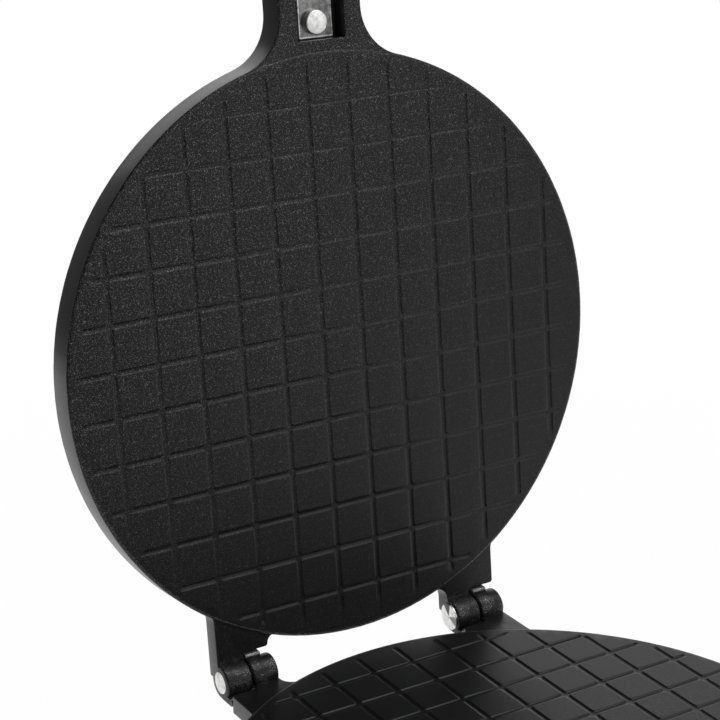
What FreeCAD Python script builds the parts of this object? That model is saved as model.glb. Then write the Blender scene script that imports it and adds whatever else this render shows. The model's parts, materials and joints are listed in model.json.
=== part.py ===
import FreeCAD, Part
import os
import re

import Sketcher

# Waffle cone iron for a hob: two castings with a square waffle grid, alike but for their stop toes and
# hinged at the back, each with a steel tang riveted into its neck and a moulded grip. A wire bail on one
# grip holds the other.
# Frame: origin under the centre of the lower plate, on the surface that it rests on. +Z is up, +Y points
# to the hinge, -Y to the handles. The upper half stands open against its stop.

# Driving sizes in millimetres and degrees
DRIVING = {
    # round plate
    "plate_diameter": 190,
    "plate_thickness": 11,
    "edge_round": 1.2,
    "web_thickness": 7,
    "rim_width": 8,
    "centre_pad_diameter": 48,
    "face_gap": 0.8,
    # waffle grid, with its grooves in two directions
    "grid_pitch": 14.5,
    "groove_count": 12,
    "grid_shift": 0.35,
    "groove_width": 1.8,
    "groove_floor_width": 0.9,
    "groove_depth": 0.45,
    "grid_margin": 3.6,
    # hinge
    "hinge_reach": 5,
    "ear_spacing": 88,
    "ear_width": 18.5,
    "ear_thickness": 5,
    "ear_fillet": 4.5,
    "front_step": 0.5,
    "knuckle_radius": 5.5,
    "knuckle_gap": 0.5,
    "notch_reach": 7.6,
    "lower_toe_setback": 0.5,
    "lower_toe_width": 5.6,
    "upper_toe_setback": 3.4,
    "toe_reach": 6.2,
    "open_angle": 96,
    "stop_gap": 0.05,
    "pin_diameter": 7.5,
    "pin_clearance": 0.05,
    "pin_end_play": 0.05,
    "pin_head_diameter": 8.8,
    "pin_head_thickness": 0.5,
    "pin_head_chamfer": 0.2,
    "pin_dimple_diameter": 1.2,
    "pin_dimple_depth": 0.3,
    "pin_tail_diameter": 8.2,
    "pin_tail_length": 0.9,
    "pin_proud": 0.1,
    # neck of the casting, and the tang in its channel
    "neck_width": 29.3,
    "neck_length": 45,
    "neck_thickness": 10.4,
    "neck_flare": 17,
    "channel_width": 16.6,
    "channel_start": 3.3,
    "tang_width": 12.5,
    "tang_thickness": 2.5,
    "tang_sink": 4,
    "tang_end_gap": 0.5,
    "tang_grip_length": 62,
    "tang_fit": 0.05,
    # rivets through tang and neck
    "rivet_diameter": 4.4,
    "rivet_inset": 4.9,
    "rivet_spacing": 26,
    "rivet_offset": 0.9,
    "rivet_head_diameter": 7.5,
    "rivet_head_height": 2.6,
    "rivet_head_chamfer": 0.5,
    "rivet_back_diameter": 7,
    "rivet_back_depth": 1.3,
    # grip and its screws
    "grip_length": 140,
    "grip_end_width": 22,
    "grip_swell": 2.5,
    "grip_thickness": 10.5,
    "grip_gap": 1.2,
    "grip_edge_round": 4.5,
    "nose_length": 23,
    "nose_width": 15,
    "nose_step": 2.2,
    "screw_diameter": 4,
    "screw_head_diameter": 7.6,
    "screw_head_depth": 2.1,
    "screw_inset": 15,
    "screw_end_inset": 15,
    # wire bail
    "bail_wire": 2.6,
    "bail_fit": 0.08,
    "bail_side_gap": 0.3,
    "bail_hook_bend": 2,
    "bail_corner": 3,
    "bail_hook_depth": 4.5,
    "bail_pivot_inset": 8,
    "bail_inboard": 12,
    "bail_top_gap": 0.3,
    "bail_floor_gap": 0.05,
}

# Places worked out from the driving sizes
PLATE_RADIUS = "(plate_diameter / 2)"
HINGE_Y = f"({PLATE_RADIUS} + hinge_reach)"
HINGE_Z = "(plate_thickness + face_gap / 2)"
FRONT_Z = "(plate_thickness - front_step)"
EAR_BACK_Z = f"({FRONT_Z} - ear_thickness)"
NECK_BACK_Z = f"({FRONT_Z} - neck_thickness)"
NECK_END_Y = f"(-{PLATE_RADIUS} - neck_length)"
TANG_TOP_Z = "(plate_thickness - tang_sink)"
TANG_Z = f"({TANG_TOP_Z} - tang_thickness)"
CHANNEL_Y = f"(-{PLATE_RADIUS} - channel_start)"
TANG_Y = f"({CHANNEL_Y} - tang_end_gap)"
GRIP_TOP_Z = f"({HINGE_Z} - grip_gap / 2)"
GRIP_Z = f"({GRIP_TOP_Z} - grip_thickness)"
GRIP_END_Y = f"({NECK_END_Y} - grip_length)"
NOSE_Z = f"({GRIP_Z} + nose_step)"
PIVOT_Y = f"({GRIP_END_Y} + bail_pivot_inset)"
PIVOT_Z = f"(({NOSE_Z} + {GRIP_TOP_Z}) / 2)"
BAIL_RISE = f"(2 * {HINGE_Z} - {NOSE_Z} + bail_top_gap + bail_wire / 2 - {PIVOT_Z})"
BAIL_REACH = f"sqrt(bail_inboard ^ 2 + {BAIL_RISE} ^ 2)"
BAIL_LEG_X = "(nose_width / 2 + bail_side_gap + bail_hook_bend)"
BAIL_DROP = f"asin(({PIVOT_Z} - bail_wire / 2 - bail_floor_gap) / {BAIL_REACH})"
BAIL_SWING = f"({BAIL_DROP} + 90deg + atan(bail_inboard / {BAIL_RISE}))"
LEAN = "(open_angle - 90)"
EAR_DEPTH = f"({HINGE_Z} - {EAR_BACK_Z})"
TOE_RISE = f"(notch_reach * cos({LEAN}) - {EAR_DEPTH} * sin({LEAN}) - stop_gap)"

EAR_CENTRES = ("(-ear_spacing / 2)", "(ear_spacing / 2)")

# Cutters stand this far past the faces that they cut
OVERSHOOT = 0.5

# Turns that point a cylinder, drawn along Z, along another axis
ALONG = {
    "x": FreeCAD.Rotation(FreeCAD.Vector(0, 1, 0), 90),
    "y": FreeCAD.Rotation(FreeCAD.Vector(1, 0, 0), -90),
    "z": FreeCAD.Rotation(),
}

doc = FreeCAD.newDocument("waffle_cone_iron")
sheet = doc.addObject("Spreadsheet::Sheet", "dims")
for row, (alias, value) in enumerate(DRIVING.items(), 1):
    sheet.set(f"A{row}", alias)
    sheet.set(f"B{row}", str(value))
    sheet.setAlias(f"B{row}", alias)
doc.recompute()
PIECES = []


def formula(text):
    """Write a size as an expression on the sheet's cells."""
    return re.sub(r"[a-z]+(_[a-z]+)+", lambda name: f"dims.{name.group()}", str(text))


def size(text):
    """Work a size out as a number."""
    found = sheet.evalExpression(formula(text))
    return float(getattr(found, "Value", found))


def bind(item, **sizes):
    """Tie an object's properties to the sheet."""
    for name, text in sizes.items():
        item.setExpression(name, formula(text))
    return item


def put(item, x, y, z):
    """Tie an object's place to the sheet."""
    for axis, text in zip("xyz", (x, y, z)):
        item.setExpression(f"Placement.Base.{axis}", formula(text))
    return item


def block(name, x_low, x_high, y_low, y_high, z_low, z_high):
    """A box between two corners."""
    box = doc.addObject("Part::Box", name)
    bind(box, Length=f"{x_high} - {x_low}", Width=f"{y_high} - {y_low}", Height=f"{z_high} - {z_low}")
    return put(box, x_low, y_low, z_low)


def rod(name, radius, length, x, y, z, axis="z"):
    """A cylinder that starts at a point and runs along an axis."""
    cylinder = doc.addObject("Part::Cylinder", name)
    bind(cylinder, Radius=radius, Height=length)
    cylinder.Placement.Rotation = ALONG[axis]
    return put(cylinder, x, y, z)


def join(name, shapes):
    """One solid from several that meet."""
    fuse = doc.addObject("Part::MultiFuse", name)
    fuse.Shapes = shapes
    fuse.Refine = True
    return fuse


def cut(name, base, tool):
    """A solid less another."""
    result = doc.addObject("Part::Cut", name)
    result.Base = base
    result.Tool = tool
    return result


def common(name, first, second):
    """What two solids share."""
    result = doc.addObject("Part::Common", name)
    result.Base = first
    result.Tool = second
    return result


def rounded(name, base, radius, wanted):
    """Round the edges of a solid that the test picks."""
    doc.recompute()
    picked = [number for number, edge in enumerate(base.Shape.Edges, 1) if wanted(edge)]
    fillet = doc.addObject("Part::Fillet", name)
    fillet.Base = base
    fillet.Edges = [(number, size(radius), size(radius)) for number in picked]
    return fillet


def piece(label, item, placement=None):
    """Keep an object as one of the iron's pieces."""
    item.Label = label
    if placement is not None:
        item.Placement = placement
    PIECES.append(item)
    return item


def turned(name, profile):
    """A body turned about Z from (radius, height) points, each tied to the sheet."""
    body = doc.addObject("PartDesign::Body", name)
    sketch = body.newObject("Sketcher::SketchObject", f"{name}_profile")
    plane = next(part for part in body.Origin.OriginFeatures if part.Role == "XZ_Plane")
    sketch.AttachmentSupport = [(plane, "")]
    sketch.MapMode = "FlatFace"
    points = [FreeCAD.Vector(size(radius), size(height), 0) for radius, height in profile]
    for number, start in enumerate(points):
        sketch.addGeometry(Part.LineSegment(start, points[(number + 1) % len(points)]))
    for number, (radius, height) in enumerate(profile):
        before = (number - 1) % len(points)
        sketch.addConstraint(Sketcher.Constraint("Coincident", before, 2, number, 1))
        for kind, axis, text in (("DistanceX", -2, radius), ("DistanceY", -1, height)):
            if text == "0":
                sketch.addConstraint(Sketcher.Constraint("PointOnObject", number, 1, axis))
            else:
                index = sketch.addConstraint(Sketcher.Constraint(kind, -1, 1, number, 1, size(text)))
                sketch.setExpression(f"Constraints[{index}]", formula(text))
    revolution = body.newObject("PartDesign::Revolution", f"{name}_turning")
    revolution.Profile = sketch
    revolution.ReferenceAxis = (sketch, ["V_Axis"])
    revolution.Angle = 360
    return body


def flare(name, side_x, outward, radius, y_sign, z_low, z_high):
    """Concave corner between a flat side and the round plate, on the side that outward points to."""
    centre_x = f"({side_x} + {outward} * {radius})"
    centre_y = f"sqrt(({PLATE_RADIUS} + {radius}) ^ 2 - {centre_x} ^ 2)"
    touch = f"({PLATE_RADIUS} / ({PLATE_RADIUS} + {radius}))"
    x_ends = [side_x, f"({centre_x} * {touch})"]
    y_ends = [f"({y_sign} * ({centre_y} - 2 * {radius}))", f"({y_sign} * {centre_y})"]
    x_low, x_high = x_ends if size(x_ends[0]) < size(x_ends[1]) else x_ends[::-1]
    y_low, y_high = y_ends if y_sign > 0 else y_ends[::-1]
    corner = block(f"{name}_corner", x_low, x_high, y_low, y_high, z_low, z_high)
    bend = rod(f"{name}_bend", radius, f"{z_high} - {z_low}", centre_x, f"{y_sign} * {centre_y}", z_low)
    return cut(name, corner, bend)


def grooves(name, turn):
    """One set of parallel grooves with sloping walls, each stopped short of the plate's edge."""
    slope = "((groove_width - groove_floor_width) / groove_depth)"
    top_half = f"((groove_width + {slope} * {OVERSHOOT}) / 2)"
    lie = FreeCAD.Rotation(FreeCAD.Vector(0, 0, 1), turn) * FreeCAD.Rotation(FreeCAD.Vector(1, 0, 0), 90)
    side = "-" if turn == 0 else "+"
    bars = []
    for number in range(int(size("groove_count"))):
        offset = f"(({number} - (groove_count - 1) / 2) * grid_pitch {side} grid_shift)"
        half_length = f"sqrt(({PLATE_RADIUS} - grid_margin) ^ 2 - {offset} ^ 2)"
        bar = doc.addObject("Part::Wedge", f"{name}_{number}")
        bind(bar, Xmin="-groove_floor_width / 2", Xmax="groove_floor_width / 2")
        bind(bar, X2min=f"-{top_half}", X2max=top_half)
        bind(bar, Ymin="0 * groove_depth", Ymax=f"groove_depth + {OVERSHOOT}")
        bind(bar, Zmin=f"-{half_length}", Zmax=half_length, Z2min=f"-{half_length}", Z2max=half_length)
        bar.Placement.Rotation = lie
        x, y = (offset, "0 * grid_pitch") if turn == 0 else ("0 * grid_pitch", offset)
        bars.append(put(bar, x, y, "plate_thickness - groove_depth"))
    bundle = doc.addObject("Part::Compound", name)
    bundle.Links = bars
    return bundle


def round_disc():
    """The round plate with rounded edges."""
    blank = rod("disc_blank", PLATE_RADIUS, "plate_thickness", 0, 0, 0)
    return rounded("disc", blank, "edge_round", lambda edge: isinstance(edge.Curve, Part.Circle))


def back_recess():
    """The ring that is hollowed out of the back, between the rim and the centre pad."""
    depth = "plate_thickness - web_thickness"
    recess = rod("recess", f"{PLATE_RADIUS} - rim_width", depth, 0, 0, 0)
    pad = rod("centre_pad", "centre_pad_diameter / 2", depth, 0, 0, 0)
    return cut("back_recess", recess, pad)


def ear(name, centre_x):
    """One hinge ear: full width as far as the notch, then half as wide, with its knuckle."""
    low, high = f"({centre_x} - ear_width / 2)", f"({centre_x} + ear_width / 2)"
    knuckle_x = f"({centre_x} + knuckle_gap / 2)"
    outer = "(ear_spacing / 2 + ear_width / 2 + ear_fillet)"
    root_y = f"(sqrt({PLATE_RADIUS} ^ 2 - {outer} ^ 2) - rim_width / 2)"
    notch_y = f"({HINGE_Y} - notch_reach)"
    return [
        block(f"{name}_root", low, high, root_y, notch_y, EAR_BACK_Z, FRONT_Z),
        block(f"{name}_arm", knuckle_x, high, notch_y, HINGE_Y, EAR_BACK_Z, FRONT_Z),
        rod(f"{name}_knuckle", "knuckle_radius", f"{high} - {knuckle_x}", knuckle_x, HINGE_Y, HINGE_Z, "x"),
        flare(f"{name}_low_side", low, -1, "ear_fillet", 1, EAR_BACK_Z, FRONT_Z),
        flare(f"{name}_high_side", high, 1, "ear_fillet", 1, EAR_BACK_Z, FRONT_Z),
    ]


def neck():
    """The neck, flared into the plate on both sides."""
    half = "(neck_width / 2)"
    root_y = f"(-{PLATE_RADIUS} + rim_width)"
    return [
        block("neck_bar", f"-{half}", half, NECK_END_Y, root_y, NECK_BACK_Z, FRONT_Z),
        flare("neck_low_flare", f"(-{half})", -1, "neck_flare", -1, NECK_BACK_Z, FRONT_Z),
        flare("neck_high_flare", half, 1, "neck_flare", -1, NECK_BACK_Z, FRONT_Z),
    ]


def rivet_places():
    """Where the rivets stand along the handle."""
    first = f"({TANG_Y} - rivet_inset)"
    return {"front": first, "rear": f"({first} - rivet_spacing)"}


def screw_places():
    """Where the grip screws stand along the handle."""
    first = f"({NECK_END_Y} - screw_inset)"
    return {"front": first, "rear": f"({NECK_END_Y} - tang_grip_length + screw_end_inset)"}


def casting():
    """What both halves share: round plate, ears and neck, less grooves, channel and rivet holes."""
    solids = [round_disc()] + neck()
    for number, centre_x in enumerate(EAR_CENTRES):
        solids += ear(f"ear_{number}", centre_x)
    channel = block("channel", "(-channel_width / 2)", "(channel_width / 2)", f"({NECK_END_Y} - {OVERSHOOT})",
                    CHANNEL_Y, TANG_Z, f"({FRONT_Z} + {OVERSHOOT})")
    cutters = [back_recess(), channel]
    for place, y in rivet_places().items():
        cutters += rivet_hole(f"{place}_rivet", y)
    blank = cut("casting_solid", join("casting_blank", solids), join("casting_cutters", cutters))
    grooved = cut("casting_grooved", blank, grooves("long_grooves", 0))
    return cut("casting", grooved, grooves("cross_grooves", 90))


def toe(name, setback, x, width):
    """A stop toe on a knuckle's back: it leans outwards as it rises, up to the other half's ear."""
    wedge = doc.addObject("Part::Wedge", name)
    bind(wedge, Xmin=setback, Xmax="knuckle_radius", X2min=setback, X2max="toe_reach")
    bind(wedge, Ymin="0 * toe_reach", Ymax=TOE_RISE)
    bind(wedge, Zmin="0 * toe_reach", Zmax=width, Z2min="0 * toe_reach", Z2max=width)
    wedge.Placement.Rotation = FreeCAD.Rotation(FreeCAD.Vector(1, 1, 1), 120)
    return put(wedge, x, HINGE_Y, HINGE_Z)


def toes(half):
    """The stop toes: as wide as the knuckle on the upper half, and shorter on the lower half."""
    widths = {"lower": "lower_toe_width", "upper": "ear_width / 2 - knuckle_gap / 2"}
    items = []
    for number, centre_x in enumerate(EAR_CENTRES):
        knuckle_x = f"({centre_x} + knuckle_gap / 2)"
        items.append(toe(f"{half}_toe_{number}", f"{half}_toe_setback", knuckle_x, widths[half]))
    return items


def plate(half, shared, bore_clearance):
    """One plate: the shared casting with its stop toes and hinge bores."""
    bores = []
    for number, centre_x in enumerate(EAR_CENTRES):
        start = f"({centre_x} - ear_width / 2 - {OVERSHOOT})"
        bores.append(rod(f"{half}_bore_{number}", f"pin_diameter / 2 + {bore_clearance}",
                         f"ear_width + 2 * {OVERSHOOT}", start, HINGE_Y, HINGE_Z, "x"))
    return cut(f"{half}_casting", join(f"{half}_toed", [shared] + toes(half)), join(f"{half}_bores", bores))


def rivet_hole(name, y):
    """A hole through the channel's floor, countersunk at the back."""
    sink = doc.addObject("Part::Cone", f"{name}_sink")
    bind(sink, Radius1="rivet_back_diameter / 2", Radius2="rivet_diameter / 2", Height="rivet_back_depth")
    put(sink, "rivet_offset", y, NECK_BACK_Z)
    depth = f"{TANG_TOP_Z} - {NECK_BACK_Z}"
    hole = rod(f"{name}_hole", "rivet_diameter / 2", depth, "rivet_offset", y, NECK_BACK_Z)
    return [sink, hole]


def tang(half):
    """The steel strip, drilled for its rivets and tapped for the grip screws."""
    strip = block(f"{half}_strip", "(-tang_width / 2)", "(tang_width / 2)",
                  f"({NECK_END_Y} - tang_grip_length)", TANG_Y, TANG_Z, TANG_TOP_Z)
    holes = []
    for place, y in rivet_places().items():
        holes.append(rod(f"{half}_{place}_rivet_way", "rivet_diameter / 2", "tang_thickness",
                         "rivet_offset", y, TANG_Z))
    for place, y in screw_places().items():
        holes.append(rod(f"{half}_{place}_screw_way", "screw_diameter / 2", "tang_thickness", 0, y, TANG_Z))
    return cut(f"{half}_tang_strip", strip, join(f"{half}_tang_holes", holes))


def rivet(name):
    """A rivet from its countersunk back head to the formed head on the tang."""
    tang_height = f"({TANG_TOP_Z} - {NECK_BACK_Z})"
    top = f"({tang_height} + rivet_head_height)"
    return turned(name, [
        ("0", "0"),
        ("rivet_back_diameter / 2", "0"),
        ("rivet_diameter / 2", "rivet_back_depth"),
        ("rivet_diameter / 2", tang_height),
        ("rivet_head_diameter / 2", tang_height),
        ("rivet_head_diameter / 2", f"{top} - rivet_head_chamfer"),
        ("rivet_head_diameter / 2 - rivet_head_chamfer", top),
        ("0", top),
    ])


def grip_screw(name):
    """A countersunk screw, flush with the grip's flat face, that ends in the tapped tang."""
    length = f"({GRIP_TOP_Z} - {TANG_Z})"
    return turned(name, [
        ("0", "0"),
        ("screw_diameter / 2", "0"),
        ("screw_diameter / 2", f"{length} - screw_head_depth"),
        ("screw_head_diameter / 2", length),
        ("0", length),
    ])


def headed_pin(name):
    """A pin from its dimpled head to its peened tail."""
    tail = "(pin_head_thickness + ear_width + pin_end_play)"
    return turned(name, [
        ("0", "pin_dimple_depth"),
        ("pin_dimple_diameter / 2", "0"),
        ("pin_head_diameter / 2 - pin_head_chamfer", "0"),
        ("pin_head_diameter / 2", "pin_head_chamfer"),
        ("pin_head_diameter / 2", "pin_head_thickness"),
        ("pin_diameter / 2", "pin_head_thickness"),
        ("pin_diameter / 2", tail),
        ("pin_tail_diameter / 2", tail),
        ("pin_tail_diameter / 2", f"{tail} + pin_tail_length / 2"),
        ("pin_diameter / 3", f"{tail} + pin_tail_length"),
        ("0", f"{tail} + pin_tail_length"),
    ])


def plain_pin(name):
    """A plain pin, flush at one end of its ear and standing proud at the other."""
    length = "(ear_width + pin_proud)"
    return turned(name, [
        ("0", "0"),
        ("pin_diameter / 2 - pin_head_chamfer", "0"),
        ("pin_diameter / 2", "pin_head_chamfer"),
        ("pin_diameter / 2", f"{length} - pin_head_chamfer"),
        ("pin_diameter / 2 - pin_head_chamfer", length),
        ("0", length),
    ])


def grip(half):
    """A grip that swells at its middle, rounded on its outer side, with a slim nose for the bail."""
    name = f"{half}_handle"
    widest = "(grip_end_width / 2 + grip_swell)"
    bow = "((grip_length ^ 2 / 4 + grip_swell ^ 2) / (2 * grip_swell))"
    middle_y = f"({NECK_END_Y} - grip_length / 2)"
    blank = block(f"{name}_blank", f"-{widest}", widest, GRIP_END_Y, NECK_END_Y, GRIP_Z, GRIP_TOP_Z)
    left = rod(f"{name}_left_bow", bow, "grip_thickness", f"{bow} - {widest}", middle_y, GRIP_Z)
    right = rod(f"{name}_right_bow", bow, "grip_thickness", f"{widest} - {bow}", middle_y, GRIP_Z)
    bowed = common(f"{name}_bowed", common(f"{name}_half_bowed", blank, left), right)
    outer_z = size(GRIP_Z)
    soft = rounded(f"{name}_soft", bowed, "grip_edge_round",
                   lambda edge: all(abs(end.Z - outer_z) < 1e-6 for end in edge.Vertexes))
    socket_half = "(tang_width / 2 + tang_fit)"
    nose_y = f"({GRIP_END_Y} + nose_length)"
    end_y = f"({GRIP_END_Y} - {OVERSHOOT})"
    nose_half = "(nose_width / 2)"
    cutters = [
        block(f"{name}_socket", f"-{socket_half}", socket_half,
              f"({NECK_END_Y} - tang_grip_length - tang_fit)", f"({NECK_END_Y} + {OVERSHOOT})",
              f"({TANG_Z} - tang_fit)", f"({TANG_TOP_Z} + tang_fit)"),
        block(f"{name}_low_side", f"-({widest} + {OVERSHOOT})", f"-{nose_half}", end_y, nose_y,
              f"({GRIP_Z} - {OVERSHOOT})", f"({GRIP_TOP_Z} + {OVERSHOOT})"),
        block(f"{name}_high_side", nose_half, f"({widest} + {OVERSHOOT})", end_y, nose_y,
              f"({GRIP_Z} - {OVERSHOOT})", f"({GRIP_TOP_Z} + {OVERSHOOT})"),
        block(f"{name}_step", f"-{widest}", widest, end_y, nose_y, f"({GRIP_Z} - {OVERSHOOT})", NOSE_Z),
    ]
    for place, y in screw_places().items():
        cutters += screw_hole(f"{name}_{place}_screw", y)
    if half == "lower":
        cutters.append(rod(f"{name}_pivot", "bail_wire / 2 + bail_fit", f"2 * {widest}",
                           f"-{widest}", PIVOT_Y, PIVOT_Z, "x"))
    return cut(name, soft, join(f"{name}_cutters", cutters))


def screw_hole(name, y):
    """A countersunk hole from the grip's flat face down to the tang."""
    shank = rod(f"{name}_shank", "screw_diameter / 2", f"{GRIP_TOP_Z} - {TANG_TOP_Z}", 0, y, TANG_TOP_Z)
    sink = doc.addObject("Part::Cone", f"{name}_sink")
    bind(sink, Radius1="screw_diameter / 2", Radius2="screw_head_diameter / 2", Height="screw_head_depth")
    put(sink, "0 * screw_diameter", y, f"{GRIP_TOP_Z} - screw_head_depth")
    return [shank, sink]


def bend(name, radius, x, y, turn):
    """A quarter turn of wire about a point."""
    ring = doc.addObject("Part::Torus", name)
    bind(ring, Radius1=radius, Radius2="bail_wire / 2")
    ring.Angle3 = 90
    ring.Placement.Rotation = FreeCAD.Rotation(FreeCAD.Vector(0, 0, 1), turn)
    return put(ring, x, y, "0 * bail_wire")


def bail():
    """The wire loop, drawn flat from its pivot towards -Y: hooks, legs and crossbar."""
    wire = "bail_wire / 2"
    hook_x = f"({BAIL_LEG_X} - bail_hook_bend)"
    bar_x = f"({BAIL_LEG_X} - bail_corner)"
    corner_y = f"(bail_corner - {BAIL_REACH})"
    hook_length = "bail_side_gap + bail_hook_depth"
    leg_length = f"{BAIL_REACH} - bail_corner - bail_hook_bend"
    parts = [
        rod("bail_left_hook", wire, hook_length, f"-{hook_x}", 0, 0, "x"),
        rod("bail_right_hook", wire, hook_length, f"{hook_x} - ({hook_length})", 0, 0, "x"),
        bend("bail_left_hook_bend", "bail_hook_bend", f"-{hook_x}", "-bail_hook_bend", 90),
        bend("bail_right_hook_bend", "bail_hook_bend", hook_x, "-bail_hook_bend", 0),
        rod("bail_left_leg", wire, leg_length, f"-{BAIL_LEG_X}", corner_y, 0, "y"),
        rod("bail_right_leg", wire, leg_length, BAIL_LEG_X, corner_y, 0, "y"),
        bend("bail_left_corner", "bail_corner", f"-{bar_x}", corner_y, 180),
        bend("bail_right_corner", "bail_corner", bar_x, corner_y, 270),
        rod("bail_crossbar", wire, f"2 * {bar_x}", f"-{bar_x}", f"-{BAIL_REACH}", 0, "x"),
    ]
    return join("bail_wire_loop", parts)


def lid_pose():
    """The upper half's place: a lower half turned over about its length, then opened about the hinge."""
    hinge = FreeCAD.Vector(0, size(HINGE_Y), size(HINGE_Z))
    turn_over = FreeCAD.Rotation(FreeCAD.Vector(0, 1, 0), 180)
    opening = FreeCAD.Rotation(FreeCAD.Vector(1, 0, 0), -size("open_angle"))
    flipped = FreeCAD.Placement(FreeCAD.Vector(), turn_over, hinge)
    opened = FreeCAD.Placement(FreeCAD.Vector(), opening, hinge)
    return opened.multiply(flipped)


def build_half(half, pose, shared, bore_clearance):
    """One half of the iron: casting, tang, rivets, grip and grip screws."""
    piece(f"{half}_plate", plate(half, shared, bore_clearance), pose)
    piece(f"{half}_tang", tang(half), pose)
    piece(f"{half}_grip", grip(half), pose)
    for place, y in rivet_places().items():
        foot = FreeCAD.Vector(size("rivet_offset"), size(y), size(NECK_BACK_Z))
        stand = FreeCAD.Placement(foot, FreeCAD.Rotation())
        piece(f"{half}_{place}_rivet", rivet(f"{half}_{place}_rivet_body"), pose.multiply(stand))
    for place, y in screw_places().items():
        stand = FreeCAD.Placement(FreeCAD.Vector(0, size(y), size(TANG_Z)), FreeCAD.Rotation())
        piece(f"{half}_{place}_screw", grip_screw(f"{half}_{place}_screw_body"), pose.multiply(stand))


def build_pins():
    """The hinge pins: a plain one on the left, and on the right one with its head on the inner side."""
    inner_x = size("ear_spacing / 2 - ear_width / 2")
    head = size("pin_head_thickness + pin_end_play")
    pins = (("left", plain_pin, -inner_x, -90), ("right", headed_pin, inner_x - head, 90))
    for side, make, x, turn in pins:
        start = FreeCAD.Vector(x, size(HINGE_Y), size(HINGE_Z))
        turn_out = FreeCAD.Rotation(FreeCAD.Vector(0, 1, 0), turn)
        piece(f"{side}_hinge_pin", make(f"{side}_pin_body"), FreeCAD.Placement(start, turn_out))


def build_bail():
    """The bail, lying outwards from its pivot with its crossbar on the table."""
    pivot = FreeCAD.Vector(0, size(PIVOT_Y), size(PIVOT_Z))
    droop = FreeCAD.Rotation(FreeCAD.Vector(1, 0, 0), size(BAIL_DROP))
    piece("latch_bail", bail(), FreeCAD.Placement(pivot, droop))


shared_casting = casting()
build_half("lower", FreeCAD.Placement(), shared_casting, "0 * pin_clearance")
build_half("upper", lid_pose(), shared_casting, "pin_clearance")
build_pins()
build_bail()
doc.recompute()

# Every object has to be sound, and every piece one or more valid solids, before anything is written
for item in doc.Objects:
    if "Invalid" in item.State or "Error" in item.State:
        raise RuntimeError(f"{item.Name} failed: {item.State}")
for item in PIECES:
    if item.Shape.isNull() or not item.Shape.isValid() or not item.Shape.Solids:
        raise RuntimeError(f"{item.Label} has no valid solid")

os.makedirs("parts", exist_ok=True)
for item in PIECES:
    item.Shape.exportStep(f"parts/{item.Label}.step")
    print(f"{item.Label}: {len(item.Shape.Solids)} solid, {item.Shape.Volume / 1000:.2f} cm3")
print(f"bail swing: {size(BAIL_SWING):.2f} degrees")
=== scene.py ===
import json
import math

import bmesh
import bpy
import numpy as np
from mathutils import Matrix, Vector


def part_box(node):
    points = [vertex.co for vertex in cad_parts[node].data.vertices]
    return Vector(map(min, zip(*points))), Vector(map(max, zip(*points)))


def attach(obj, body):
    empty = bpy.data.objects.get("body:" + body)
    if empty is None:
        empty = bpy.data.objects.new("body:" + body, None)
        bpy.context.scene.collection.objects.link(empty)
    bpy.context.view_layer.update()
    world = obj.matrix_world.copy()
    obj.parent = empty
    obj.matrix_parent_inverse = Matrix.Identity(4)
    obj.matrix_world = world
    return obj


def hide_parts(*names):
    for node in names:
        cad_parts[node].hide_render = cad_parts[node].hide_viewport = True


bl_info = {
    "name": "Waffle cone iron",
    "version": (1, 0, 0),
    "blender": (4, 5, 0),
    "location": "3D View > Sidebar > Waffle iron",
    "description": "Dresses a hinged waffle cone iron and sets its stage",
    "category": "Object",
}

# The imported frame, in metres: +Z up, +Y to the hinge, -Y to the handles, origin under the lower plate
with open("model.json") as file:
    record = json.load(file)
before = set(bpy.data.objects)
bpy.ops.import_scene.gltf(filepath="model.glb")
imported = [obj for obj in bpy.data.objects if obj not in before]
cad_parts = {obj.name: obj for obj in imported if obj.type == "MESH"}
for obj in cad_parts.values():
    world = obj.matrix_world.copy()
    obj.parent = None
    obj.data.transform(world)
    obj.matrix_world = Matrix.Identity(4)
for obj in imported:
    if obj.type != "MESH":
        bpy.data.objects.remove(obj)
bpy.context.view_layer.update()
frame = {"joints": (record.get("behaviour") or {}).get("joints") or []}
JOINTS = {joint["name"]: joint for joint in frame["joints"]}
HINGE = np.array(JOINTS["lid_hinge"]["pos_m"], float)
OPEN_ANGLE = math.radians(JOINTS["lid_hinge"]["range_deg"][1])
PIVOT = np.array(JOINTS["bail_swing"]["pos_m"], float)
BODY_OF_HALF = {"lower": "base", "upper": "lid"}
PLACES = ("front", "rear")

MM = 0.001
MERGE = 1e-6
TINY = 1e-12
SHARP = math.radians(38)
QUARTER = math.pi / 2


def box_of(node):
    """A node's lowest and highest corner as arrays."""
    low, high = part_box(node)
    return np.array(low), np.array(high)


PLATE_LOW, PLATE_HIGH = box_of("lower_plate")
TANG_LOW, TANG_HIGH = box_of("lower_tang")
GRIP_LOW, GRIP_HIGH = box_of("lower_grip")
PLATE_RADIUS = float(PLATE_HIGH[0])
NECK_END = float(PLATE_LOW[1])


# Settings

def length(label, description, millimetres):
    """A length that the sidebar shows."""
    return bpy.props.FloatProperty(
        name=label, description=description, default=millimetres * MM, unit="LENGTH", precision=5)


def colour(label, description, red, green, blue):
    """A colour that the sidebar shows."""
    return bpy.props.FloatVectorProperty(
        name=label, description=description, default=(red, green, blue),
        size=3, subtype="COLOR", min=0, max=1)


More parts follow.
